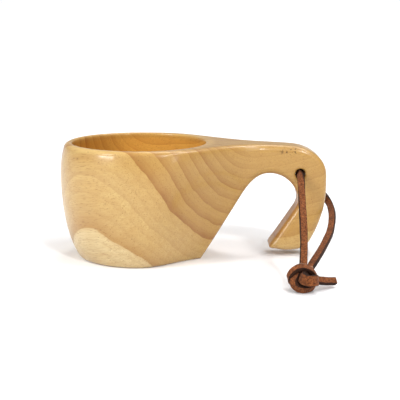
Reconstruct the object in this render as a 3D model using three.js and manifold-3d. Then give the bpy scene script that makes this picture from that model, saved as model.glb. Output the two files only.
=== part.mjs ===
// A carved wooden drinking cup (kuksa) with a hooked finger handle, and a leather thong knotted
// through the handle. Millimetres, +Z up. The origin is the centre of the bowl at its flat base,
// and the handle runs along +X.
import * as THREE from "three";
import { mergeVertices } from "three/addons/utils/BufferGeometryUtils.js";
import Module from "manifold-3d";

const wasm = await Module();
wasm.setup();

// Driving dimensions.
const RIM_Z = 68.8;
const BARREL_RADIUS = 47.1;
const BARREL_WIDEST_Z = 47.5;
const BASE_EDGE_RADIUS = 1.8;
const RIM_EDGE_RADIUS = 2.2;
const HANDLE_HALF_WIDTH = 10;
const HANDLE_END_X = 112.1;
const MOUTH_RADIUS = 40;
const CAVITY_RADIUS = 41.6;
const FLOOR_Z = 9;
const HOLE = { x: 96.1, z: 51.1, radius: 3.05 };
const THONG_RADIUS = 1.8;
const KNOT_CENTRE = new THREE.Vector3(91.2, -76, 6.9);
const KNOT_RADII = new THREE.Vector3(7.6, 7.6, 6.8);

const WOOD_COLOR = 0xcfa266;
const LEATHER_COLOR = 0x7a4428;

// The bowl's outer radius at a height: a barrel that is widest above its middle.
function barrelRadius(z) {
  if (z < BARREL_WIDEST_Z) {
    const down = (BARREL_WIDEST_Z - z) / BARREL_WIDEST_Z;
    return BARREL_RADIUS - 8 * down ** 2 - 2.3 * down ** 6;
  }
  const up = (z - BARREL_WIDEST_Z) / (RIM_Z - BARREL_WIDEST_Z);
  return BARREL_RADIUS - 3.1 * up ** 2.6;
}

// How far the rounded edges at the base and the rim draw the outline in at a height.
function edgeInset(z) {
  const round = (radius, depth) => radius - Math.sqrt(radius ** 2 - (radius - depth) ** 2);
  if (z < BASE_EDGE_RADIUS) return round(BASE_EDGE_RADIUS, z);
  if (RIM_Z - z < RIM_EDGE_RADIUS) return round(RIM_EDGE_RADIUS, RIM_Z - z);
  return 0;
}

// Half the body's width at x, on the handle's side of the bowl: the bowl narrows into the handle
// early at the base, and late at the rim, where it makes shoulders.
function flareHalfWidth(x, z) {
  const inset = edgeInset(z);
  const radius = barrelRadius(z) - inset;
  const handle = HANDLE_HALF_WIDTH - inset;
  const reach = radius * (0.764 + (0.326 * z) / RIM_Z);
  const power = 2.2 + (0.9 * z) / RIM_Z;
  return handle + (radius - handle) * Math.exp(-((x / reach) ** power));
}

// The plan outline at a height: half a circle behind the bowl's axis, the flare and the handle
// ahead of it, as a ring of points counter-clockwise from the +Y side.
function planOutline(z) {
  const BACK_STEPS = 40;
  const FLARE_STEPS = 26;
  const FLARE_END_X = 78;
  const radius = barrelRadius(z) - edgeInset(z);
  const side = [];
  for (let i = 1; i <= FLARE_STEPS; i++) side.push((FLARE_END_X * i) / FLARE_STEPS);
  side.push(HANDLE_END_X + 4);
  const ring = [];
  for (let i = 0; i <= BACK_STEPS; i++) {
    const angle = Math.PI * (0.5 + i / BACK_STEPS);
    ring.push([radius * Math.cos(angle), radius * Math.sin(angle)]);
  }
  for (const x of side) ring.push([x, -flareHalfWidth(x, z)]);
  for (const x of side.reverse()) ring.push([x, flareHalfWidth(x, z)]);
  return ring;
}

// A closed geometry through a stack of rings that have the same number of points.
function loft(levels, ringAt) {
  const rings = levels.map(ringAt);
  const count = rings[0].length;
  const positions = rings.flatMap((ring, i) => ring.flatMap(([x, y]) => [x, y, levels[i]]));
  const index = [];
  for (let level = 0; level + 1 < levels.length; level++) {
    for (let i = 0; i < count; i++) {
      const a = level * count + i;
      const b = level * count + ((i + 1) % count);
      index.push(a, b, b + count, a, b + count, a + count);
    }
  }
  const capOf = (ring) =>
    THREE.ShapeUtils.triangulateShape(ring.map(([x, y]) => new THREE.Vector2(x, y)), []);
  for (const [a, b, c] of capOf(rings[0])) index.push(a, c, b);
  const top = (levels.length - 1) * count;
  for (const [a, b, c] of capOf(rings.at(-1))) index.push(top + a, top + b, top + c);
  return new THREE.BufferGeometry()
    .setAttribute("position", new THREE.Float32BufferAttribute(positions, 3))
    .setIndex(index);
}

// The side view of the whole cup: flat base, the slanted cut under the handle, the arch for the
// finger, the hook's tip, its rounded outer side and the handle's almost level top.
function sideOutline() {
  const LEFT = -60;
  return new THREE.Shape()
    .moveTo(LEFT, 0)
    .lineTo(37.2, 0)
    .lineTo(62.2, 40)
    .bezierCurveTo(66.8, 46.7, 71.5, 51, 78, 51)
    .bezierCurveTo(87.2, 51, 95.4, 43, 95.4, 34.5)
    .bezierCurveTo(95.4, 31.6, 94, 29.9, 92.3, 27.3)
    .lineTo(82, 11.7)
    .bezierCurveTo(78.4, 6.9, 76.4, 4.7, 82.5, 4.6)
    .quadraticCurveTo(89.5, 3, 96.1, 4.6)
    .bezierCurveTo(99.2, 5.3, 101.4, 7.1, 102.9, 9.5)
    .bezierCurveTo(107.6, 17.6, HANDLE_END_X, 29, HANDLE_END_X, 42)
    .lineTo(HANDLE_END_X, 49)
    .bezierCurveTo(HANDLE_END_X, 60.5, 101.5, 67, 91, 67.5)
    .bezierCurveTo(82, 68.3, 60, RIM_Z, 40, RIM_Z)
    .lineTo(LEFT, RIM_Z);
}

// A shape drawn in the side view, extruded across the whole width of the cup.
function acrossWidth(shape) {
  const WIDTH = 120;
  return new THREE.ExtrudeGeometry(shape, { depth: WIDTH, bevelEnabled: false, curveSegments: 12 })
    .rotateX(Math.PI / 2)
    .translate(0, WIDTH / 2, 0);
}

// The hollow of the bowl, from its floor to above the rim.
function cavity() {
  const ABOVE_RIM = 6;
  const wall = new THREE.Path()
    .moveTo(0, FLOOR_Z)
    .lineTo(16, FLOOR_Z)
    .bezierCurveTo(33, FLOOR_Z, CAVITY_RADIUS, 25, CAVITY_RADIUS, 46)
    .quadraticCurveTo(CAVITY_RADIUS, 58, MOUTH_RADIUS, RIM_Z)
    .lineTo(MOUTH_RADIUS, RIM_Z + ABOVE_RIM)
    .lineTo(0, RIM_Z + ABOVE_RIM);
  return new THREE.LatheGeometry(wall.getPoints(9), 64).rotateX(Math.PI / 2);
}

// The thong's hole, right through the handle's outer end.
function threadHole() {
  return new THREE.CylinderGeometry(HOLE.radius, HOLE.radius, 60, 28)
    .translate(HOLE.x, 0, HOLE.z);
}

// A manifold solid from a closed geometry.
function solidOf(geometry) {
  const bare = geometry.clone();
  bare.deleteAttribute("normal");
  bare.deleteAttribute("uv");
  const merged = mergeVertices(bare, 1e-4);
  return new wasm.Manifold(
    new wasm.Mesh({
      numProp: 3,
      vertProperties: new Float32Array(merged.attributes.position.array),
      triVerts: new Uint32Array(merged.index.array),
    }),
  );
}

// A flat-shaded geometry from a manifold solid.
function geometryOf(solid) {
  const mesh = solid.getMesh();
  const geometry = new THREE.BufferGeometry()
    .setAttribute("position", new THREE.Float32BufferAttribute(mesh.vertProperties, 3))
    .setIndex([...mesh.triVerts]);
  geometry.computeVertexNormals();
  return geometry;
}

// The cup, one piece of wood.
function cupBody() {
  const levels = [0, 0.3, 0.9, BASE_EDGE_RADIUS];
  for (let z = 5; z < 66; z += 3.6) levels.push(z);
  levels.push(RIM_Z - RIM_EDGE_RADIUS, RIM_Z - 1.1, RIM_Z - 0.35, RIM_Z);
  const body = solidOf(loft(levels, planOutline))
    .intersect(solidOf(acrossWidth(sideOutline())))
    .subtract(solidOf(cavity()))
    .subtract(solidOf(threadHole()));
  return geometryOf(body);
}

// A round cord along a smooth curve through points.
function cord(points, steps) {
  const SIDES = 8;
  const section = new THREE.Shape();
  for (let i = 0; i < SIDES; i++) {
    const angle = (2 * Math.PI * i) / SIDES;
    const corner = [THONG_RADIUS * Math.cos(angle), THONG_RADIUS * Math.sin(angle)];
    if (i === 0) section.moveTo(...corner);
    else section.lineTo(...corner);
  }
  const extrudePath = new THREE.CatmullRomCurve3(points.map((p) => new THREE.Vector3(...p)));
  return new THREE.ExtrudeGeometry(section, { steps, extrudePath });
}

// The thong's loop: up from the knot, through the handle's hole and back round its outer end.
function thongLoop() {
  return cord(
    [
      [92.15, -70.4, 12.1],
      [93.4, -60.5, 19.2],
      [94.1, -51.5, 25.4],
      [94.6, -42, 31.8],
      [95, -33, 37.4],
      [95.5, -24, 43],
      [95.9, -17, 47.2],
      [96.1, -12, 50],
      [HOLE.x, -7, HOLE.z],
      [HOLE.x, 0, HOLE.z],
      [HOLE.x, 7, HOLE.z],
      [96.4, 11.5, 50.6],
      [99, 14.6, 48.2],
      [104.5, 15.8, 43],
      [110.6, 14.8, 37],
      [114.7, 11, 32.3],
      [116.3, 6, 29.5],
      [116.4, -2, 27.7],
      [115.9, -9, 25.9],
      [114.5, -18, 23.6],
      [112, -29, 20.5],
      [108.1, -41, 17.9],
      [103.6, -53, 15.2],
      [99.6, -62, 12.8],
      [95.8, -70, 10.3],
    ],
    64,
  );
}

// The tail that lies to the right of the knot.
function thongTailRight() {
  return cord([[99.2, -74, 5.4], [102.4, -73, 4.4], [106, -71, 3.4], [109.6, -69, 2.7]], 6);
}

// The short tail that ends in front of the knot.
function thongTailFront() {
  return cord([[93.2, -83.7, 6.6], [93.8, -85.3, 6.3], [94.3, -87, 6]], 3);
}

// The knot as a plain rounded lump.
function thongKnot() {
  return new THREE.SphereGeometry(1, 20, 12)
    .rotateX(Math.PI / 2)
    .scale(KNOT_RADII.x, KNOT_RADII.y, KNOT_RADII.z)
    .translate(KNOT_CENTRE.x, KNOT_CENTRE.y, KNOT_CENTRE.z);
}

const wood = new THREE.MeshStandardMaterial({ color: WOOD_COLOR, roughness: 0.4, metalness: 0 });
const leather = new THREE.MeshStandardMaterial({
  color: LEATHER_COLOR,
  roughness: 0.85,
  metalness: 0,
});

function part(name, geometry, material) {
  const mesh = new THREE.Mesh(geometry, material);
  mesh.name = name;
  return mesh;
}

const cup = new THREE.Group();
cup.add(part("cup_body", cupBody(), wood));

const thong = new THREE.Group();
thong.add(
  part("thong_loop", thongLoop(), leather),
  part("thong_knot", thongKnot(), leather),
  part("thong_tail_right", thongTailRight(), leather),
  part("thong_tail_front", thongTailFront(), leather),
);

const kuksa = new THREE.Group();
kuksa.add(cup, thong);

export default kuksa;
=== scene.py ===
"""A carved wooden drinking cup (kuksa) with a knotted leather thong, built around its CAD frame.
Lengths are in metres, except in the functions that shape the wood, which work in millimetres."""

import math

import bpy
import numpy as np
from mathutils import Matrix, Vector


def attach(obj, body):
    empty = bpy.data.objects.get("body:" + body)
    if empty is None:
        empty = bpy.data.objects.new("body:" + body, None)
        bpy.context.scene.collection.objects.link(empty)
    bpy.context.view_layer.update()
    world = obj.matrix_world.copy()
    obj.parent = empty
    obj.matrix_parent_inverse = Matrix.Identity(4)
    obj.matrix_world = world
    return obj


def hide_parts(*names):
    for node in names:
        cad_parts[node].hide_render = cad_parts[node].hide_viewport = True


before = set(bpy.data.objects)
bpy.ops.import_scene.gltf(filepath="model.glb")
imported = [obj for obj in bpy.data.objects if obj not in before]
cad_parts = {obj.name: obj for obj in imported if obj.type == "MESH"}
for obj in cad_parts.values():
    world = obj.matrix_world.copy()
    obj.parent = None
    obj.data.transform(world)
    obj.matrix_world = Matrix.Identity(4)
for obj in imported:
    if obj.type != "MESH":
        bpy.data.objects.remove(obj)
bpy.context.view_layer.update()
MM = 0.001

# ---------------------------------------------------------------- camera and lights

CAMERA_TARGET = Vector((0.0366, 0, 0.0330))
CAMERA_DISTANCE = 0.55
CAMERA_ELEVATION = math.radians(11.6)
CAMERA_ROLL = math.radians(0.3)
CAMERA_LENS = 81.45
SENSOR_WIDTH = 36

HORIZON_STRENGTH, SKY_STRENGTH = 1.03, 0.36
HORIZON_TOP, SKY_FROM = 0.05, 0.12
SURROUND_COLOR = (0.98, 0.99, 1.0, 1)
FLOOR_HALF_WIDTH = 12.0
FLOOR_COLOR = (0.93, 0.93, 0.94, 1)

# Each sun's name, azimuth from the camera's side, elevation, softness in degrees and strength.
SUNS = [
    ("right", 57, 54, 12, 0.62),
    ("left", -58, 48, 14, 0.98),
    ("back", 170, 62, 20, 0.7),
    ("front", 28, 39, 7, 1.12),
]
# Each softbox's name, azimuth, elevation, distance, size and power.
SOFTBOXES = [
    ("left_box", -50, 23, 1.1, (0.42, 0.14), 4.6),
    ("right_box", 42, 17, 1.1, (0.2, 0.3), 0.9),
    ("top_box", 110, 62, 1.0, (0.34, 0.26), 3.0),
]


def make_camera():
    data = bpy.data.cameras.new("camera")
    data.lens = CAMERA_LENS
    data.sensor_width = SENSOR_WIDTH
    camera = bpy.data.objects.new("camera", data)
    back = Vector((0, -math.cos(CAMERA_ELEVATION), math.sin(CAMERA_ELEVATION)))
    turn = back.to_track_quat("Z", "Y").to_matrix().to_4x4()
    roll = Matrix.Rotation(CAMERA_ROLL, 4, "Z")
    camera.matrix_world = (
        Matrix.Translation(CAMERA_TARGET + back * CAMERA_DISTANCE) @ turn @ roll
    )
    bpy.context.scene.collection.objects.link(camera)
    bpy.context.scene.camera = camera


def add_light(name, data, azimuth, elevation):
    """A light that shines at the cup. Returns the light and the way from the cup to it."""
    light = bpy.data.objects.new(name, data)
    turn, rise = math.radians(azimuth), math.radians(elevation)
    way = Vector(
        (math.sin(turn) * math.cos(rise), -math.cos(turn) * math.cos(rise), math.sin(rise))
    )
    light.rotation_mode = "QUATERNION"
    light.rotation_quaternion = way.to_track_quat("Z", "Y")
    bpy.context.scene.collection.objects.link(light)
    return light, way


def softbox(name, azimuth, elevation, distance, size, power):
    data = bpy.data.lights.new(name, "AREA")
    data.shape = "RECTANGLE"
    data.size, data.size_y = size
    data.energy = power
    light, way = add_light(name, data, azimuth, elevation)
    light.location = CAMERA_TARGET + way * distance


def sun(name, azimuth, elevation, softness, strength):
    data = bpy.data.lights.new(name, "SUN")
    data.angle = math.radians(softness)
    data.energy = strength
    add_light(name, data, azimuth, elevation)


def make_world():
    """A soft white surround that is brightest at the horizon, where the backdrop would be."""
    world = bpy.data.worlds.new("studio")
    world.use_nodes = True
    tree = world.node_tree
    place = tree.nodes.new("ShaderNodeTexCoord").outputs["Generated"]
    split = tree.nodes.new("ShaderNodeSeparateXYZ")
    height = tree.nodes.new("ShaderNodeMath")
    height.operation = "ABSOLUTE"
    fade = tree.nodes.new("ShaderNodeMapRange")
    fade.inputs["From Min"].default_value = HORIZON_TOP
    fade.inputs["From Max"].default_value = SKY_FROM
    fade.inputs["To Min"].default_value = HORIZON_STRENGTH
    fade.inputs["To Max"].default_value = SKY_STRENGTH
    tree.links.new(place, split.inputs[0])
    tree.links.new(split.outputs["Z"], height.inputs[0])
    tree.links.new(height.outputs[0], fade.inputs["Value"])
    background = tree.nodes["Background"]
    background.inputs["Color"].default_value = SURROUND_COLOR
    tree.links.new(fade.outputs[0], background.inputs["Strength"])
    bpy.context.scene.world = world


def make_lights():
    make_world()
    for settings in SUNS:
        sun(*settings)
    for settings in SOFTBOXES:
        softbox(*settings)
    bpy.context.scene.view_settings.view_transform = "Standard"


def make_floor():
    mesh = bpy.data.meshes.new("floor")
    half = FLOOR_HALF_WIDTH
    mesh.from_pydata(
        [(-half, -half, 0), (half, -half, 0), (half, half, 0), (-half, half, 0)],
        [],
        [(0, 1, 2, 3)],
    )
    floor = bpy.data.objects.new("floor", mesh)
    material = bpy.data.materials.new("floor")
    material.use_nodes = True
    shader = material.node_tree.nodes["Principled BSDF"]
    shader.inputs["Base Color"].default_value = FLOOR_COLOR
    shader.inputs["Roughness"].default_value = 0.9
    shader.inputs["Specular IOR Level"].default_value = 0.1
    mesh.materials.append(material)
    bpy.context.scene.collection.objects.link(floor)


# ---------------------------------------------------------------- the wood's shape, in mm

RIM_Z = 68.8
BARREL_RADIUS = 47.1
BARREL_WIDEST_Z = 47.5
HANDLE_HALF_WIDTH = 10.0
HANDLE_END_X = 112.1
MOUTH_RADIUS = 40.0
CAVITY_RADIUS = 41.6
FLOOR_Z = 9.0
HOLE_X, HOLE_Z, HOLE_RADIUS = 96.1, 51.1, 3.05
CELL = 0.9

# How much narrower the barrel is at its base, at the turn into the base, and at its rim.
BASE_TUCK, BASE_TURN, RIM_TUCK = 8, 2.3, 3.1
# The flare from the barrel into the handle: its reach as a share of the barrel's radius, and
# how square its shoulder is, each at the base and as what is added up to the rim.
FLARE_REACH, FLARE_REACH_RISE = 0.764, 0.326
FLARE_POWER, FLARE_POWER_RISE = 2.2, 0.9
# Edge radii: on the cut sides, what the handle and rim add, and what the round base adds.
CUT_EDGE, HANDLE_EDGE, BASE_EDGE = 1.0, 2.9, 0.8


def bezier(*controls, steps=24):
    """Points along a Bezier curve, without its first point."""
    t = np.linspace(0, 1, steps + 1)[1:, None]
    n = len(controls) - 1
    terms = [
        math.comb(n, i) * t**i * (1 - t) ** (n - i) * np.array(c, float)
        for i, c in enumerate(controls)
    ]
    return sum(terms)


def side_outline():
    """The cup's side view as a closed polygon of (x, z)."""
    left = -60
    return np.vstack(
        [
            [(left, 0), (37.2, 0), (62.2, 40)],
            bezier((62.2, 40), (66.8, 46.7), (71.5, 51), (78, 51)),
            bezier((78, 51), (87.2, 51), (95.4, 43), (95.4, 34.5)),
            bezier((95.4, 34.5), (95.4, 31.6), (94, 29.9), (92.3, 27.3), steps=8),
            [(82, 11.7)],
            bezier((82, 11.7), (78.4, 6.9), (76.4, 4.7), (82.5, 4.6), steps=16),
            bezier((82.5, 4.6), (89.5, 3), (96.1, 4.6), steps=8),
            bezier((96.1, 4.6), (99.2, 5.3), (101.4, 7.1), (102.9, 9.5), steps=8),
            bezier((102.9, 9.5), (107.6, 17.6), (HANDLE_END_X, 29), (HANDLE_END_X, 42)),
            [(HANDLE_END_X, 49)],
            bezier((HANDLE_END_X, 49), (HANDLE_END_X, 60.5), (101.5, 67), (91, 67.5)),
            bezier((91, 67.5), (82, 68.3), (60, RIM_Z), (40, RIM_Z)),
            [(left, RIM_Z)],
        ]
    )


def cavity_outline():
    """The bowl's hollow as a closed polygon of (radius, z)."""
    above = RIM_Z + 20
    return np.vstack(
        [
            [(-60, FLOOR_Z), (16, FLOOR_Z)],
            bezier((16, FLOOR_Z), (33, FLOOR_Z), (CAVITY_RADIUS, 25), (CAVITY_RADIUS, 46)),
            bezier((CAVITY_RADIUS, 46), (CAVITY_RADIUS, 58), (MOUTH_RADIUS, RIM_Z)),
            [(MOUTH_RADIUS, above), (-60, above)],
        ]
    )


def polygon_distance(points, polygon):
    """Signed distance of 2D points to a closed polygon, negative inside."""
    nearest = np.full(len(points), np.inf)
    inside = np.zeros(len(points), bool)
    x, y = points[:, 0], points[:, 1]
    for a, b in zip(polygon, np.roll(polygon, -1, axis=0), strict=True):
        edge = b - a
        t = np.clip(((points - a) @ edge) / (edge @ edge), 0, 1)
        away = points - a - t[:, None] * edge
        nearest = np.minimum(nearest, (away**2).sum(1))
        if a[1] != b[1]:
            crosses = (a[1] > y) != (b[1] > y)
            inside ^= crosses & (x < a[0] + (y - a[1]) * edge[0] / edge[1])
    return np.where(inside, -1, 1) * np.sqrt(nearest)


class DistanceMap:
    """A polygon's signed distance on a fine grid, read back by smooth interpolation."""

    STEP = 0.25

    def __init__(self, polygon, low, high):
        self.low = np.array(low, float)
        self.shape = np.ceil((np.array(high) - self.low) / self.STEP).astype(int) + 1
        i, j = np.meshgrid(*[np.arange(n) for n in self.shape], indexing="ij")
        points = np.stack([i.ravel(), j.ravel()], 1) * self.STEP + self.low
        self.values = polygon_distance(points, polygon).reshape(self.shape)

    def __call__(self, x, y):
        u = np.clip((x - self.low[0]) / self.STEP, 0, self.shape[0] - 1.001)
        v = np.clip((y - self.low[1]) / self.STEP, 0, self.shape[1] - 1.001)
        i, j = u.astype(int), v.astype(int)
        u, v, d = u - i, v - j, self.values
        near = d[i, j] * (1 - v) + d[i, j + 1] * v
        far = d[i + 1, j] * (1 - v) + d[i + 1, j + 1] * v
        return near * (1 - u) + far * u


def barrel_radius(z):
    down = np.clip((BARREL_WIDEST_Z - z) / BARREL_WIDEST_Z, 0, 1.2)
    up = np.clip((z - BARREL_WIDEST_Z) / (RIM_Z - BARREL_WIDEST_Z), 0, 1.2)
    return BARREL_RADIUS - BASE_TUCK * down**2 - BASE_TURN * down**6 - RIM_TUCK * up**2.6


def flare_half_width(x, z):
    """Half the body's width on the handle's side of the bowl."""
    radius = barrel_radius(z)
    level = np.clip(z / RIM_Z, 0, 1)
    reach = radius * (FLARE_REACH + FLARE_REACH_RISE * level)
    share = np.exp(-((x / reach) ** (FLARE_POWER + FLARE_POWER_RISE * level)))
    return HANDLE_HALF_WIDTH + (radius - HANDLE_HALF_WIDTH) * share


def plan_distance(x, y, z):
    """Roughly the distance outside the plan outline at each point's height."""
    step = 0.05
    ahead = np.maximum(x, 0)
    half_width = flare_half_width(ahead, z)
    slope = (flare_half_width(ahead + step, z) - half_width) / step
    behind = np.hypot(x, y) - barrel_radius(z)
    beside = (np.abs(y) - half_width) / np.sqrt(1 + slope**2)
    return np.where(x > 0, beside, behind)


def round_both(a, b, radius):
    """The distance of what is inside a and b, with the edge between them rounded."""
    over = np.hypot(np.maximum(a + radius, 0), np.maximum(b + radius, 0))
    return np.minimum(np.maximum(a, b), -radius) + over


def edge_radius(x, z):
    """How round the side outline's edges are: soft on the handle, crisper on the cut."""
    along_handle = np.clip((x - 40) / 32, 0, 1)
    near_top = np.clip((z - 50) / 12, 0, 1)
    soft = CUT_EDGE + HANDLE_EDGE * np.maximum(along_handle, near_top * 0.5)
    return soft + BASE_EDGE * np.clip(1 - z / 6, 0, 1) * np.clip((30 - x) / 20, 0, 1)


class WoodShape:
    """The signed distance of the carved wood, in mm, negative inside."""

    RIM_INNER_RADIUS = 0.9
    HOLE_EDGE_RADIUS = 0.7

    def __init__(self):
        self.side = DistanceMap(side_outline(), (-52, -6), (120, 75))
        self.cavity = DistanceMap(cavity_outline(), (-2, -6), (120, 75))

    def __call__(self, p):
        x, y, z = p.T
        outside = round_both(plan_distance(x, y, z), self.side(x, z), edge_radius(x, z))
        hollow = self.cavity(np.hypot(x, y), z)
        hole = np.hypot(x - HOLE_X, z - HOLE_Z) - HOLE_RADIUS
        carved = round_both(outside, -hollow, self.RIM_INNER_RADIUS)
        return round_both(carved, -hole, self.HOLE_EDGE_RADIUS)

    def gradient(self, p):
        step = 0.08
        moves = np.eye(3) * step
        return np.stack([self(p + m) - self(p - m) for m in moves], 1) / (2 * step)


def surface_net(shape, low, high, cell):
    """Vertices and quads of the zero surface of shape, on a grid of cubic cells."""
    counts = np.ceil((np.array(high) - low) / cell).astype(int) + 1
    axes = [low[i] + cell * np.arange(counts[i]) for i in range(3)]
    values = np.empty(counts)
    for i, x in enumerate(axes[0]):
        y, z = np.meshgrid(axes[1], axes[2], indexing="ij")
        points = np.stack([np.full(y.size, x), y.ravel(), z.ravel()], 1)
        values[i] = shape(points).reshape(y.shape)
    inside = values < 0
    cells = tuple(counts - 1)
    total, hits = np.zeros((*cells, 3)), np.zeros(cells)
    quads = []
    offsets = [(0, 0), (0, 1), (1, 1), (1, 0)]
    crossings = []
    for axis in range(3):
        first = [slice(None)] * 3
        second = [slice(None)] * 3
        first[axis], second[axis] = slice(0, -1), slice(1, None)
        a, b = values[tuple(first)], values[tuple(second)]
        cut = np.argwhere((a < 0) != (b < 0))
        va, vb = a[tuple(cut.T)], b[tuple(cut.T)]
        point = cut.astype(float)
        point[:, axis] += va / (va - vb)
        crossings.append((axis, cut, va < 0))
        others = [k for k in range(3) if k != axis]
        for du, dv in offsets:
            at = cut.copy()
            at[:, others[0]] -= du
            at[:, others[1]] -= dv
            np.add.at(total, tuple(at.T), point)
            np.add.at(hits, tuple(at.T), 1)
    used = hits > 0
    number = np.full(cells, -1)
    number[used] = np.arange(used.sum())
    vertices = total[used] / hits[used][:, None] * cell + np.array(low)
    for axis, cut, goes_out in crossings:
        others = [k for k in range(3) if k != axis]
        corners = []
        for du, dv in offsets:
            at = cut.copy()
            at[:, others[0]] -= du
            at[:, others[1]] -= dv
            corners.append(number[tuple(at.T)])
        quad = np.stack(corners, 1)
        flip = ~goes_out if axis == 1 else goes_out
        quad[flip] = quad[flip][:, ::-1]
        quads.append(quad)
    assert not inside[0].any() and not inside[-1].any()
    return vertices, np.vstack(quads)


def relax(vertices, quads, shape, rounds=6):
    """Evens the vertices out along the surface, and puts each one exactly on it."""
    edges = np.vstack([quads[:, [k, (k + 1) % 4]] for k in range(4)])
    count = np.bincount(edges[:, 0], minlength=len(vertices))[:, None]
    for _ in range(rounds):
        mean = np.stack(
            [
                np.bincount(edges[:, 0], vertices[edges[:, 1], k], len(vertices))
                for k in range(3)
            ],
            1,
        )
        gradient = shape.gradient(vertices)
        normal = gradient / np.linalg.norm(gradient, axis=1, keepdims=True)
        pull = mean / count - vertices
        pull -= (pull * normal).sum(1, keepdims=True) * normal
        vertices = vertices + 0.5 * pull
        for _ in range(2):
            gradient = shape.gradient(vertices)
            size = np.maximum((gradient**2).sum(1, keepdims=True), 0.25)
            vertices = vertices - shape(vertices)[:, None] * gradient / size
    return vertices


def mesh_object(name, vertices, faces, materials, body, replaced=()):
    mesh = bpy.data.meshes.new(name)
    mesh.from_pydata(vertices.tolist(), [], [list(map(int, f)) for f in faces])
    for material in materials:
        mesh.materials.append(material)
    mesh.shade_smooth()
    mesh.update()
    piece = bpy.data.objects.new(name, mesh)
    bpy.context.scene.collection.objects.link(piece)
    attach(piece, body)
    if replaced:
        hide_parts(*replaced)
    return piece


def make_cup(material):
    shape = WoodShape()
    vertices, quads = surface_net(shape, (-50, -50, -3), (115, 50, 72), CELL)
    vertices = relax(vertices, quads, shape)
    cup = mesh_object("cup_wood", vertices * MM, quads, [material], "cup", ["cup_body"])
    return cup


# ---------------------------------------------------------------- the leather lace, in mm

LACE_WIDTH, LACE_THICKNESS = 4.0, 2.9
CORNER = 0.55
LACE_STEP = 0.5
WIDTH_WAVE, THICKNESS_WAVE, TWIST_WAVE = 0.018, 0.022, 0.035
# The slightly domed cut end: each ring's share of the section, and how far out it stands.
CUT_END = [(0.93, 0.22), (0.6, 0.3), (0.25, 0.28)]
# Material numbers: the dark one is the lace's narrow edges and also the painted shade of the knot's
# core.
SUEDE, DARK_EDGE_AND_SHADE, CUT = 0, 1, 2
LOOP_ROUTE = [
    (92.15, -70.4, 12.1),
    (93.4, -60.5, 19.2),
    (94.1, -51.5, 25.4),
    (94.6, -42, 31.8),
    (95, -33, 37.4),
    (95.5, -24, 43),
    (95.9, -17, 47.2),
    (96.1, -12, 50),
    (96.1, -7, 51.1),
    (96.1, 0, 51.1),
    (96.1, 7, 51.1),
    (96.4, 11.5, 50.6),
    (99, 14.6, 48.2),
    (104.5, 15.8, 43),
    (110.6, 14.8, 37),
    (114.7, 11, 32.3),
    (116.3, 6, 29.5),
    (116.4, -2, 27.7),
    (115.9, -9, 25.9),
    (114.5, -18, 23.6),
    (112, -29, 20.5),
    (108.1, -41, 17.9),
    (103.6, -53, 15.2),
    (99.6, -62, 12.8),
    (95.8, -70, 10.3),
]
MIDDLE_OF_HOLE = 9
KNOT_CENTRE = (91.2, -76, 6.9)
MOUTH_FRONT, MOUTH_BACK = (0.0961, -0.010, 0.0511), (0.0961, 0.010, 0.0511)

# Which way the wide face's width runs, by the number of the point from the middle of the hole.
FRONT_SIDES = {
    0: (0.4, 0, 0.9),
    1: (0.45, 0, 0.88),
    2: (0.7, 0.1, 0.7),
    3: (0.9, 0.2, 0.4),
    5: (1, 0.27, 0),
    9: (1, 0.25, 0),
}
BACK_SIDES = {
    0: (0.5, 0, 0.86),
    1: (0.6, 0, 0.8),
    3: (0.8, -0.5, 0.4),
    5: (0.5, -0.85, 0),
    8: (0.75, -0.5, 0.3),
    11: (1, -0.3, 0.1),
    15: (1, -0.3, 0.1),
}

TAIL_RIGHT_ROUTE = [
    (94.6, -74.6, 7.4),
    (97.0, -76.2, 6.2),
    (99.6, -75.4, 5.2),
    (102.8, -73.6, 4.3),
    (106.2, -71.8, 3.6),
    (109.6, -70.2, 3.2),
]
TAIL_RIGHT_SIDES = {
    0: (-0.3, 0.45, 0.85),
    2: (0, 0.75, 0.65),
    4: (0.1, 0.85, 0.55),
    5: (0, 0.7, 0.7),
}
TAIL_FRONT_ROUTE = [
    (91.8, -76.6, 9.2),
    (91.1, -80.4, 8.4),
    (91.7, -83.7, 7.9),
    (93.8, -85.2, 7.7),
    (96.3, -83.9, 7.4),
    (97.5, -81.0, 6.8),
    (97.2, -78.0, 6.2),
]
TAIL_FRONT_SIDES = {
    0: (1, 0, 0.3),
    1: (0.5, 0, 1),
    2: (0.2, 0.2, 1),
    4: (-0.1, 0.25, 1),
    6: (0, 0.2, 1),
}

# The knot's visible turns: over the top, down across the front, round the right and back, and
# underneath.
OVER_TOP = [
    (87.4, -73.6, 3.4),
    (85.2, -76.2, 4.9),
    (84.2, -78.0, 8.0),
    (86.0, -78.6, 11.2),
    (89.6, -78.4, 12.9),
    (93.4, -77.8, 12.3),
    (96.6, -76.8, 9.8),
    (98.0, -75.2, 6.6),
    (97.0, -72.8, 4.0),
]
FRONT_TURN = [
    (88.4, -77.0, 9.2),
    (86.9, -79.6, 7.6),
    (86.2, -81.2, 5.3),
    (87.8, -82.4, 3.3),
    (91.0, -82.7, 2.5),
    (94.4, -81.6, 2.7),
    (96.9, -78.8, 3.4),
    (96.8, -74.8, 4.2),
]
BACK_TURN = [
    (96.6, -77.6, 4.6),
    (97.4, -74.2, 7.0),
    (95.6, -71.4, 9.0),
    (91.8, -70.3, 9.4),
    (87.8, -71.0, 8.6),
    (85.4, -73.6, 7.2),
    (85.0, -76.8, 5.8),
    (87.4, -79.6, 4.6),
]
UNDER_TURN = [
    (94.4, -71.6, 10.2),
    (90.6, -71.2, 11.0),
    (87.0, -72.8, 9.6),
    (86.2, -73.8, 5.6),
    (88.6, -73.8, 2.6),
    (92.4, -73.6, 1.9),
    (95.4, -75.6, 2.8),
]
# The route of the knot's dark core, which is painted shade showing between the turns.
KNOT_SHADE_CORE = [(88.2, -75.4, 7.6), (90.8, -74.6, 6.9), (93.8, -74.0, 6.4)]


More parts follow.
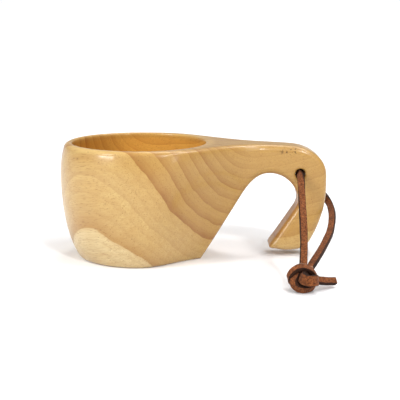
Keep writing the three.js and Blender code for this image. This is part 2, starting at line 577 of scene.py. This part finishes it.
def smooth_line(points):
    """Evenly spaced points along a centripetal Catmull-Rom curve, and the control
    points' places along it."""
    points = np.array(points, float)
    ends = [2 * points[0] - points[1], *points, 2 * points[-1] - points[-2]]
    padded = np.array(ends)
    pieces = 40
    fine, marks = [points[:1]], [0]
    for i in range(len(points) - 1):
        p = padded[i : i + 4]
        t = np.concatenate([[0], np.cumsum(np.linalg.norm(np.diff(p, axis=0), axis=1) ** 0.5)])
        s = np.linspace(t[1], t[2], pieces)[1:, None]

        def between(a, b, ta, tb, s=s):
            return ((tb - s) * a + (s - ta) * b) / (tb - ta)

        a = [between(p[k], p[k + 1], t[k], t[k + 1]) for k in range(3)]
        b = [between(a[k], a[k + 1], t[k], t[k + 2]) for k in range(2)]
        fine.append(between(b[0], b[1], t[1], t[2]))
        marks.append(marks[-1] + pieces - 1)
    fine = np.vstack(fine)
    run = np.concatenate([[0], np.cumsum(np.linalg.norm(np.diff(fine, axis=0), axis=1))])
    at = np.linspace(0, run[-1], max(int(round(run[-1] / LACE_STEP)), 4) + 1)
    line = np.stack([np.interp(at, run, fine[:, k]) for k in range(3)], 1)
    return line, at, run[marks]


def unit(v):
    return v / np.linalg.norm(v, axis=-1, keepdims=True)


def lace_section(width, thickness):
    """A rounded rectangle, counter-clockwise from the corner in the first quadrant."""
    a, b = width / 2, thickness / 2
    r = min(CORNER, 0.45 * thickness)
    # Each corner's centre, the angle it starts at, where the straight after it ends, and how
    # many pieces that straight is in.
    corners = [
        ((a - r, b - r), 0, (r - a, b), 6),
        ((r - a, b - r), 90, (-a, r - b), 4),
        ((r - a, r - b), 180, (a - r, -b), 6),
        ((a - r, r - b), 270, (a, b - r), 4),
    ]
    ring = []
    for (cx, cy), start, (end_x, end_y), count in corners:
        for k in range(4):
            angle = math.radians(start + 30 * k)
            ring.append((cx + r * math.cos(angle), cy + r * math.sin(angle)))
        x, y = ring[-1]
        for k in range(1, count):
            share = k / count
            ring.append((x + (end_x - x) * share, y + (end_y - y) * share))
    return np.array(ring)


def uneven(at, seed, size):
    """A slow, irregular wave along a lace, as hand-cut leather has."""
    waves = [(0.21, 1.0), (0.47, 0.7), (1.03, 0.45), (2.3, 0.25)]
    return size * sum(h * np.sin(f * at + seed * (i + 1.7)) for i, (f, h) in enumerate(waves))


def lace(route, sides, width=LACE_WIDTH, thickness=LACE_THICKNESS, seed=1):
    """Vertices, faces, material numbers and centre line of a flat lace along a route.

    sides gives the direction across the lace's wide face at some or all of the route's points.
    """
    line, at, marks = smooth_line(route)
    keys = np.array([marks[i] for i in sorted(sides)])
    ways = np.array([sides[i] for i in sorted(sides)], float)
    side = np.stack([np.interp(at, keys, ways[:, k]) for k in range(3)], 1)
    tangent = unit(np.gradient(line, axis=0))
    side = unit(side - (side * tangent).sum(1, keepdims=True) * tangent)
    up = np.cross(tangent, side)
    section = lace_section(width, thickness)
    n = len(section)
    rings = []
    for i in range(len(line)):
        wide = 1 + uneven(at[i], seed, WIDTH_WAVE)
        thick = 1 + uneven(at[i], seed + 3.1, THICKNESS_WAVE)
        wavy = uneven(at[i], seed + 9.2, TWIST_WAVE)
        rings.append(
            line[i]
            + np.outer(section[:, 0] * wide, side[i])
            + np.outer(section[:, 1] * thick + wavy * section[:, 0] / width, up[i])
        )
    faces, kinds = [], []
    narrow = np.abs(section[:, 0]) > width / 2 - CORNER * 0.62
    for i in range(len(rings) - 1):
        for k in range(n):
            j = (k + 1) % n
            faces.append((i * n + k, i * n + j, (i + 1) * n + j, (i + 1) * n + k))
            kinds.append(DARK_EDGE_AND_SHADE if narrow[k] and narrow[j] else SUEDE)
    for i, way in ((0, -1), (len(rings) - 1, 1)):
        centre = line[i]
        last = [i * n + k for k in range(n)]
        for scale, out in CUT_END:
            rings.append(centre + (rings[i] - centre) * scale + way * out * tangent[i])
            ring = [(len(rings) - 1) * n + k for k in range(n)]
            for k in range(n):
                j = (k + 1) % n
                quad = (last[k], last[j], ring[j], ring[k])
                faces.append(quad if way > 0 else quad[::-1])
                kinds.append(CUT)
            last = ring
        faces.append(tuple(last) if way > 0 else tuple(last[::-1]))
        kinds.append(CUT)
    return np.vstack(rings), faces, kinds, line


def lace_object(name, parts, materials, replaced):
    vertices, faces, kinds = [], [], []
    for v, f, k, _ in parts:
        start = sum(len(x) for x in vertices)
        vertices.append(v)
        faces += [tuple(i + start for i in face) for face in f]
        kinds += k
    piece = mesh_object(name, np.vstack(vertices) * MM, faces, materials, "thong", replaced)
    piece.data.polygons.foreach_set("material_index", kinds)
    return piece


def wound(points, lean=(0, 0, 0), **options):
    """A strand that lies flat around the knot, its wide face turned outwards and by lean."""
    line = np.array(points, float)
    tangent = np.gradient(line, axis=0)
    outward = unit(line - np.array(KNOT_CENTRE)) + np.array(lean)
    return lace(points, dict(enumerate(np.cross(outward, tangent))), **options)


def knot_strands():
    """The knot's turns, round a dark core of painted shade that fills what can be seen between
    them.
    """
    turns = [
        wound(OVER_TOP, lean=(0, -0.35, 0.75), width=3.8, thickness=2.5, seed=14),
        wound(FRONT_TURN, lean=(0, -0.5, -0.2), width=4.3, thickness=2.6, seed=31),
        wound(BACK_TURN, width=4.4, seed=17),
        wound(UNDER_TURN, width=4.4, seed=21),
    ]
    # The dark core is painted shade in the gaps between the turns: every face takes the dark edge
    # material.
    core = wound(KNOT_SHADE_CORE, lean=(0, -1, 0), width=8.2, thickness=7.0, seed=25)
    vertices, faces, kinds, line = core
    return [*turns, (vertices, faces, [DARK_EDGE_AND_SHADE] * len(kinds), line)]


def make_thong(materials):
    """The lace's two runs from the hole to the knot, the knot and its two tails."""
    front_run = lace(LOOP_ROUTE[MIDDLE_OF_HOLE::-1], FRONT_SIDES, seed=2)
    back_run = lace(LOOP_ROUTE[MIDDLE_OF_HOLE:], BACK_SIDES, seed=5)
    front = lace(TAIL_FRONT_ROUTE, TAIL_FRONT_SIDES, width=5.7, thickness=3.6, seed=11)
    right = lace(TAIL_RIGHT_ROUTE, TAIL_RIGHT_SIDES, seed=8)
    knot = lace_object("knot", knot_strands(), materials, ["thong_knot"])
    front_tail = lace_object("tail_front", [front], materials, ["thong_tail_front"])
    right_tail = lace_object("tail_right", [right], materials, ["thong_tail_right"])
    for name, strand, mouth, tail in (
        ("lace_front", front_run, MOUTH_FRONT, front_tail),
        ("lace_back", back_run, MOUTH_BACK, right_tail),
    ):
        run = lace_object(name, [strand], materials, ["thong_loop"])


# ---------------------------------------------------------------- materials


class Nodes:
    """A short way to write shader nodes: each call adds one node and returns its output."""

    def __init__(self, name):
        self.material = bpy.data.materials.new(name)
        self.material.use_nodes = True
        self.tree = self.material.node_tree
        self.shader = self.tree.nodes["Principled BSDF"]

    def put(self, value, socket):
        if isinstance(value, bpy.types.NodeSocket):
            self.tree.links.new(value, socket)
        else:
            socket.default_value = value

    def add(self, kind, output=0, settings=None, **values):
        node = self.tree.nodes.new(kind)
        for key, value in (settings or {}).items():
            setattr(node, key, value)
        for key, value in values.items():
            self.put(value, node.inputs[key.replace("_", " ")])
        return node.outputs[output]

    def math(self, operation, a, b=0.0, clamp=False):
        node = self.tree.nodes.new("ShaderNodeMath")
        node.operation = operation
        node.use_clamp = clamp
        self.put(a, node.inputs[0])
        self.put(b, node.inputs[1])
        return node.outputs[0]

    def vector(self, operation, a, b=(0, 0, 0), output=0):
        node = self.tree.nodes.new("ShaderNodeVectorMath")
        node.operation = operation
        self.put(a, node.inputs[0])
        self.put(b, node.inputs[1])
        return node.outputs[output]

    def noise(self, place, scale, detail=2.0, roughness=0.5, stretch=(1, 1, 1), colour=False):
        if stretch != (1, 1, 1):
            place = self.vector("MULTIPLY", place, stretch)
        return self.add(
            "ShaderNodeTexNoise",
            output="Color" if colour else 0,
            Vector=place,
            Scale=scale,
            Detail=detail,
            Roughness=roughness,
        )

    def ramp(self, value, stops, ease="LINEAR"):
        """Maps a value to a grey or a colour: stops is a list of (place, grey or rgb)."""
        node = self.tree.nodes.new("ShaderNodeValToRGB")
        node.color_ramp.interpolation = ease
        elements = node.color_ramp.elements
        while len(elements) < len(stops):
            elements.new(0.5)
        for element, (place, shade) in zip(elements, stops, strict=True):
            element.position = place
            rgb = shade if isinstance(shade, tuple) else (shade, shade, shade)
            element.color = (*rgb, 1)
        self.put(value, node.inputs[0])
        return node.outputs[0]

    def mix(self, share, a, b, blend="MIX"):
        node = self.tree.nodes.new("ShaderNodeMix")
        node.data_type = "RGBA"
        node.blend_type = blend
        self.put(share, node.inputs[0])
        for value, socket in ((a, node.inputs[6]), (b, node.inputs[7])):
            self.put((*value, 1) if isinstance(value, tuple) else value, socket)
        return node.outputs[2]

    def product(self, *factors):
        total = factors[0]
        for factor in factors[1:]:
            total = self.math("MULTIPLY", total, factor)
        return total

    def axis(self, name, place):
        """One of a vector's three numbers."""
        return self.add("ShaderNodeSeparateXYZ", output=name, Vector=place)

    def fade(self, value, start, end, low=0.0, high=1.0):
        """low up to start, high from end on, and in between evenly from one to the other."""
        return self.add(
            "ShaderNodeMapRange", Value=value, From_Min=start, From_Max=end, To_Min=low, To_Max=high
        )

    def millimetres(self):
        """The place on the object, in mm."""
        place = self.vector("SCALE", self.add("ShaderNodeTexCoord", output="Object"))
        place.node.inputs["Scale"].default_value = 1 / MM
        return place

    def bump(self, height, strength, distance):
        node = self.tree.nodes.new("ShaderNodeBump")
        node.inputs["Strength"].default_value = strength
        node.inputs["Distance"].default_value = distance
        self.put(height, node.inputs["Height"])
        return node.outputs[0]


def srgb(r, g, b):
    """A linear colour from an 8-bit display colour."""
    return tuple(
        c / 255 / 12.92 if c <= 10 else ((c / 255 + 0.055) / 1.055) ** 2.4 for c in (r, g, b)
    )


FIBRE = Vector((0.767, -0.628, 0.129)).normalized()
PITH = Vector((18.1, 39.1, 82.4))
# Each growth ring's outer radius from the pith, and how dark its late wood is.
RINGS = [
    (14, 0.3),
    (20, 0.45),
    (25.5, 0.3),
    (31, 0.5),
    (37.4, 0.45),
    (42.6, 0.5),
    (49.8, 0.8),
    (56.5, 0.6),
    (64.6, 0.65),
    (72.0, 0.75),
    (80.8, 0.95),
    (93.3, 0.18),
    (106.5, 0.45),
    (114.5, 0.3),
    (120, 0.3),
]
RING_SPAN = 130.0
# The early wood's colour by distance from the pith, which turns to pale sapwood at the outside.
TONES = [
    (0, srgb(176, 140, 76)),
    (80.3, srgb(176, 140, 76)),
    (81.3, srgb(183, 151, 90)),
    (91, srgb(190, 162, 104)),
    (103, srgb(190, 162, 104)),
    (106.1, srgb(187, 157, 99)),
    (106.9, srgb(208, 191, 146)),
]
LATE_WOOD = srgb(132, 78, 32)
MOTTLE_COLOR = srgb(194, 150, 80)
STREAK_COLOR = srgb(168, 124, 64)
FIBRE_COLOR = srgb(150, 104, 54)
PORE_COLOR = srgb(128, 84, 40)
SPECK_COLOR = srgb(88, 56, 28)
PIT_COLOR = srgb(70, 46, 24)
PIT_CENTRE = (89.5, -9, 64.3)
# What the colour is multiplied by: inside the bowl, more orange with painted shade on the left and
# painted light on the right; on the lip, a painted highlight; on the faces inside the arch, painted
# shade.
BOWL_PAINTED_SHADE_LEFT, BOWL_PAINTED_LIGHT_RIGHT = (1.0, 0.8, 0.48), (1.6, 1.45, 1.02)
LIP_PAINTED_HIGHLIGHT = (1.2, 1.26, 1.36)
ARCH_PAINTED_SHADE = (0.8, 0.66, 0.54)


def dot(n, place, way):
    return n.vector("DOT_PRODUCT", place, tuple(way), output="Value")


def growth_rings(n, grain):
    """The distance from the pith as a share of RING_SPAN, and how many rings lie inside it."""
    sway = n.noise(grain, 0.026, 2, 0.5, (0.6, 1, 1), colour=True)
    sway = n.vector("MULTIPLY", n.vector("SUBTRACT", sway, (0.5, 0.5, 0.5)), (0, 7, 7))
    ripple = n.noise(grain, 0.16, 2, 0.5, (0.4, 1, 1), colour=True)
    ripple = n.vector("MULTIPLY", n.vector("SUBTRACT", ripple, (0.5, 0.5, 0.5)), (0, 1.3, 1.3))
    swayed = n.vector("ADD", n.vector("ADD", grain, sway), ripple)
    radius = n.vector("LENGTH", n.vector("MULTIPLY", swayed, (0, 1, 1)), output="Value")
    depth = n.math("DIVIDE", radius, RING_SPAN)
    count = n.tree.nodes.new("ShaderNodeFloatCurve")
    curve = count.mapping.curves[0]
    points = [(r / RING_SPAN, (i + 1) / len(RINGS)) for i, (r, _) in enumerate(RINGS)]
    while len(curve.points) < len(points) + 1:
        curve.points.new(0.5, 0.5)
    for point, (x, y) in zip(curve.points, [(0, 0), *points], strict=True):
        point.location = (x, y)
        point.handle_type = "VECTOR"
    count.mapping.update()
    n.put(depth, count.inputs["Value"])
    return depth, n.math("MULTIPLY", count.outputs[0], float(len(RINGS)))


def late_wood(n, grain, number, along):
    """How dark the late wood is: it deepens slowly through each ring and ends abruptly."""
    darkness = n.ramp(
        n.math("DIVIDE", n.math("FLOOR", number), float(len(RINGS))),
        [(max(i / len(RINGS) - 0.01, 0), d) for i, (_, d) in enumerate(RINGS)],
        "CONSTANT",
    )
    late = n.ramp(
        n.math("FRACT", number),
        [
            (0.0, 0.02),
            (0.25, 0.06),
            (0.5, 0.25),
            (0.72, 0.6),
            (0.92, 0.95),
            (0.985, 1.0),
            (1.0, 0.3),
        ],
    )
    plainer_handle = n.fade(along, 52.0, 74.0, 1.0, 0.4)
    patchy = n.noise(grain, 0.07, 2, 0.5, (0.5, 1, 1))
    patchy = n.math("ADD", n.math("MULTIPLY", patchy, 1.2), 0.4)
    darkness = n.product(darkness, plainer_handle, patchy)
    return n.math("MULTIPLY", late, darkness, clamp=True)


def dark_pits(n, mm):
    """A patch of small pits on the viewer's side of the handle, near its end."""
    patch = n.vector("MULTIPLY", n.vector("SUBTRACT", mm, PIT_CENTRE), (0.15, 0.15, 0.3))
    patch = n.math("SUBTRACT", 1.0, n.vector("LENGTH", patch, output="Value"), clamp=True)
    pits = n.ramp(n.noise(mm, 0.75, 1, 0.4), [(0.0, 0), (0.6, 0), (0.68, 1)])
    return n.math("MULTIPLY", pits, n.math("MULTIPLY", patch, 2.5, clamp=True))


def tinted(n, share, colour, tint):
    """The colour multiplied by tint where share is 1, and unchanged where it is 0."""
    return n.mix(share, colour, n.mix(1.0, colour, tint, "MULTIPLY"))


def wood_material():
    n = Nodes("hardwood")
    mm = n.millimetres()
    from_pith = n.vector("SUBTRACT", mm, tuple(PITH))
    sideways = Vector((0, 0, 1)).cross(FIBRE).normalized()
    upward = FIBRE.cross(sideways)
    grain = n.add(
        "ShaderNodeCombineXYZ",
        X=dot(n, from_pith, FIBRE),
        Y=dot(n, from_pith, sideways),
        Z=dot(n, from_pith, upward),
    )
    along = n.axis("X", mm)
    depth, number = growth_rings(n, grain)
    band = late_wood(n, grain, number, along)
    fine_rings = n.math("FRACT", n.math("MULTIPLY", number, 3.0))
    fine_rings = n.ramp(fine_rings, [(0.0, 0.0), (0.55, 0.12), (0.93, 1.0), (1.0, 0.0)])

    fibres = n.noise(grain, 1.0, 5, 0.62, (0.06, 1.1, 1.1))
    streaks = n.noise(grain, 1.0, 3, 0.6, (0.012, 0.28, 0.28))
    mottle = n.noise(mm, 0.06, 3, 0.55)
    pores = n.noise(grain, 1.0, 1, 0.4, (0.22, 2.3, 2.3))
    pores = n.ramp(pores, [(0.0, 0), (0.62, 0), (0.72, 1)])
    specks = n.add(
        "ShaderNodeTexVoronoi",
        settings={"feature": "F1"},
        Vector=n.vector("MULTIPLY", grain, (0.09, 0.3, 0.3)),
        Scale=1.0,
    )
    specks = n.ramp(specks, [(0.0, 1), (0.05, 0.8), (0.085, 0)])

    tone = n.ramp(depth, [(r / RING_SPAN, shade) for r, shade in TONES])
    colour = n.mix(n.math("MULTIPLY", mottle, 0.3), tone, MOTTLE_COLOR)
    colour = n.mix(n.math("MULTIPLY", band, 0.72), colour, LATE_WOOD)
    colour = n.mix(n.math("MULTIPLY", fine_rings, 0.13), colour, LATE_WOOD)
    colour = n.mix(n.ramp(streaks, [(0.35, 0.0), (0.7, 0.3)]), colour, STREAK_COLOR)
    colour = n.mix(n.ramp(fibres, [(0.4, 0.0), (0.72, 0.32)]), colour, FIBRE_COLOR)
    colour = n.mix(n.math("MULTIPLY", pores, 0.55), colour, PORE_COLOR)
    colour = n.mix(n.math("MULTIPLY", specks, 0.6), colour, SPECK_COLOR)
    colour = n.mix(n.math("MULTIPLY", dark_pits(n, mm), 0.8), colour, PIT_COLOR)
    # Inside the bowl: painted shade darkens the left and painted light brightens the right.
    bowl_light_and_shade = n.mix(n.fade(along, -34.0, -10.0), BOWL_PAINTED_SHADE_LEFT, BOWL_PAINTED_LIGHT_RIGHT)
    colour = tinted(n, bowl_mask(n, mm), colour, bowl_light_and_shade)
    # A painted highlight along the lip round the mouth.
    colour = tinted(n, lip_highlight_mask(n, mm), colour, LIP_PAINTED_HIGHLIGHT)
    # Painted shade on the faces inside the arch under the handle, which are also made rougher.
    cut = arch_shade_mask(n, mm)
    colour = tinted(n, cut, colour, ARCH_PAINTED_SHADE)
    n.put(colour, n.shader.inputs["Base Color"])
    polish = n.ramp(fibres, [(0.3, 0.30), (0.7, 0.42)])
    n.put(n.math("MAXIMUM", polish, n.math("MULTIPLY", cut, 0.75)), n.shader.inputs["Roughness"])
    relief = n.math("SUBTRACT", n.math("MULTIPLY", fibres, 0.25), pores)
    n.put(n.bump(relief, 0.25, 0.00008), n.shader.inputs["Normal"])
    n.shader.inputs["Coat Weight"].default_value = 0.36
    n.shader.inputs["Coat Roughness"].default_value = 0.13
    n.shader.inputs["Specular IOR Level"].default_value = 0.3
    return n.material


def from_axis(n, mm):
    """The distance from the bowl's upright axis."""
    return n.vector("LENGTH", n.vector("MULTIPLY", mm, (1, 1, 0)), output="Value")


def bowl_mask(n, mm):
    """1 inside the bowl, where the colour is tinted more orange, with painted shade on the left and
    painted light on the right, and 0 elsewhere.
    """
    height = n.axis("Z", mm)
    below = n.math("MAXIMUM", n.math("SUBTRACT", 46.0, height), 0.0)
    rim = n.math("MULTIPLY", n.math("MAXIMUM", n.math("SUBTRACT", height, 62.0), 0.0), 0.42)
    reach = n.math("SUBTRACT", 43.0, rim)
    wide = n.math("POWER", n.math("DIVIDE", from_axis(n, mm), reach), 2.6)
    deep = n.math("POWER", n.math("DIVIDE", below, 39.0), 2.6)
    edge = n.math("SUBTRACT", 1.0, n.math("ADD", wide, deep))
    return n.math("MULTIPLY", edge, 12.0, clamp=True)


def lip_highlight_mask(n, mm):
    """1 on the lip round the mouth, where a painted highlight makes the wood paler, and 0
    elsewhere.
    """
    high = n.fade(n.axis("Z", mm), 66.2, 67.8)
    near = n.fade(from_axis(n, mm), 47.0, 43.5)
    return n.math("MULTIPLY", high, near)


def arch_shade_mask(n, mm):
    """1 on the faces inside the arch under the handle, which get painted shade and are made
    rougher, and 0 elsewhere.
    """
    facing = n.add("ShaderNodeTexCoord", output="Normal")
    inward = n.fade(n.axis("X", facing), 0.3, 0.0)
    flank = n.fade(n.math("ABSOLUTE", n.axis("Y", facing)), 0.85, 0.45)
    hook = n.fade(n.axis("X", mm), 55.0, 65.0)
    low = n.fade(n.axis("Z", mm), 56.0, 50.0)
    return n.product(inward, flank, hook, low)


def leather_material(name, dark, mid, light, roughness, nap):
    n = Nodes(name)
    place = n.millimetres()
    fine = n.noise(place, 1.7, 3, 0.75)
    grain = n.noise(place, 0.8, 4, 0.65)
    patches = n.noise(place, 0.16, 2, 0.5)
    speckle = n.ramp(fine, [(0.4, 0), (0.62, 1)])
    colour = n.mix(speckle, mid, light)
    colour = n.mix(n.ramp(grain, [(0.42, 0.0), (0.62, 0.75)]), colour, dark)
    colour = n.mix(n.ramp(patches, [(0.35, 0.0), (0.7, 0.3)]), colour, dark)
    n.put(colour, n.shader.inputs["Base Color"])
    n.shader.inputs["Roughness"].default_value = roughness
    n.shader.inputs["Specular IOR Level"].default_value = 0.18
    n.shader.inputs["Sheen Weight"].default_value = nap
    n.shader.inputs["Sheen Roughness"].default_value = 0.5
    height = n.math("ADD", fine, grain)
    n.put(n.bump(height, 0.6, 0.0003), n.shader.inputs["Normal"])
    return n.material


# ---------------------------------------------------------------- the scene

make_camera()
suede = leather_material(
    "suede", srgb(60, 30, 12), srgb(100, 51, 23), srgb(156, 93, 50), roughness=0.9, nap=0.06
)
# The lace's dark narrow edges, and the painted shade of the knot's dark core.
dark_edge_and_shade = leather_material(
    "lace_edge_and_shade", srgb(20, 10, 6), srgb(38, 20, 12), srgb(74, 42, 24), roughness=0.75, nap=0.0
)
cut_end = leather_material(
    "lace_end", srgb(120, 80, 56), srgb(176, 132, 104), srgb(206, 170, 144), roughness=0.9, nap=0.1
)
make_thong([suede, dark_edge_and_shade, cut_end])
make_cup(wood_material())
make_floor()
make_lights()

bpy.context.view_layer.update()
